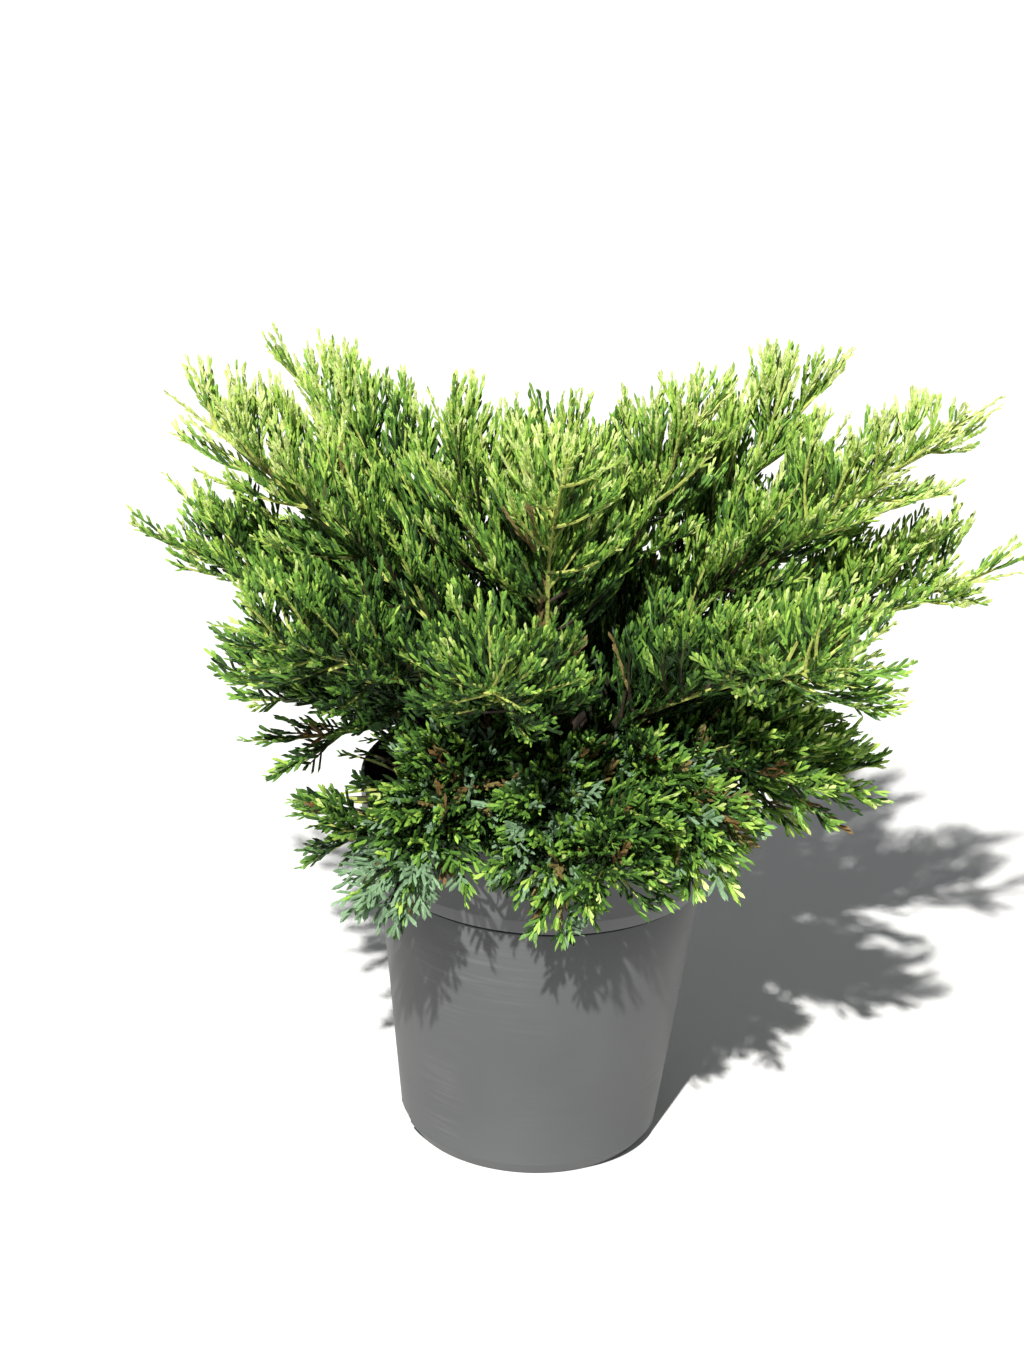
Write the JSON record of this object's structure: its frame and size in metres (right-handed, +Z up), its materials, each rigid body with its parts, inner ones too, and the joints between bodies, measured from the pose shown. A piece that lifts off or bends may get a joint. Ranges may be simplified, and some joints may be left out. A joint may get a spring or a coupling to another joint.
{
  "type": "potted spreading juniper",
  "caption": "Low spreading conifer with vase-like boughs of feathery evergreen foliage, growing in a round grey nursery pot.",
  "frame": {"origin": "centre of the pot's flat underside", "axes": "+X to the plant's right, along its widest spread; -Y to the viewer; +Z up through the pot"},
  "size_m": [0.4376, 0.3825, 0.42],
  "materials": {
    "pot": "matt mid-grey moulded plastic, faintly scuffed",
    "soil": "dark damp peat and bark potting mix",
    "bark": "thin flaking red-brown bark",
    "foliage_low": "blue-green scale leaves in flat sprays",
    "foliage_middle": "fresh green scale leaves in feathery sprays",
    "foliage_high": "yellow-green young growth on long shoots"
  },
  "bodies": {
    "root": {"pot": "pot", "soil": "soil", "trunk": "bark", "bough_skirt_1": "bark", "foliage_skirt_1": "foliage_low", "bough_skirt_2": "bark", "foliage_skirt_2": "foliage_low", "bough_skirt_3": "bark", "foliage_skirt_3": "foliage_low", "bough_skirt_4": "bark", "foliage_skirt_4": "foliage_low", "bough_skirt_5": "bark", "foliage_skirt_5": "foliage_low", "bough_skirt_6": "bark", "foliage_skirt_6": "foliage_low", "bough_skirt_7": "bark", "foliage_skirt_7": "foliage_low", "bough_low_1": "bark", "foliage_low_1": "foliage_low", "bough_low_2": "bark", "foliage_low_2": "foliage_low", "bough_low_3": "bark", "foliage_low_3": "foliage_low", "bough_low_4": "bark", "foliage_low_4": "foliage_low", "bough_low_5": "bark", "foliage_low_5": "foliage_low", "bough_low_6": "bark", "foliage_low_6": "foliage_low", "bough_low_7": "bark", "foliage_low_7": "foliage_low", "bough_middle_1": "bark", "foliage_middle_1": "foliage_middle", "bough_middle_2": "bark", "foliage_middle_2": "foliage_middle", "bough_middle_3": "bark", "foliage_middle_3": "foliage_middle", "bough_middle_4": "bark", "foliage_middle_4": "foliage_middle", "bough_middle_5": "bark", "foliage_middle_5": "foliage_middle", "bough_middle_6": "bark", "foliage_middle_6": "foliage_middle", "bough_middle_7": "bark", "foliage_middle_7": "foliage_middle", "bough_middle_8": "bark", "foliage_middle_8": "foliage_middle", "bough_high_1": "bark", "foliage_high_1": "foliage_high", "bough_high_2": "bark", "foliage_high_2": "foliage_high", "bough_high_3": "bark", "foliage_high_3": "foliage_high", "bough_high_4": "bark", "foliage_high_4": "foliage_high", "bough_high_5": "bark", "foliage_high_5": "foliage_high", "foliage_top_1": "foliage_high", "foliage_top_2": "foliage_high", "foliage_top_3": "foliage_high"}
  },
  "joints": []
}
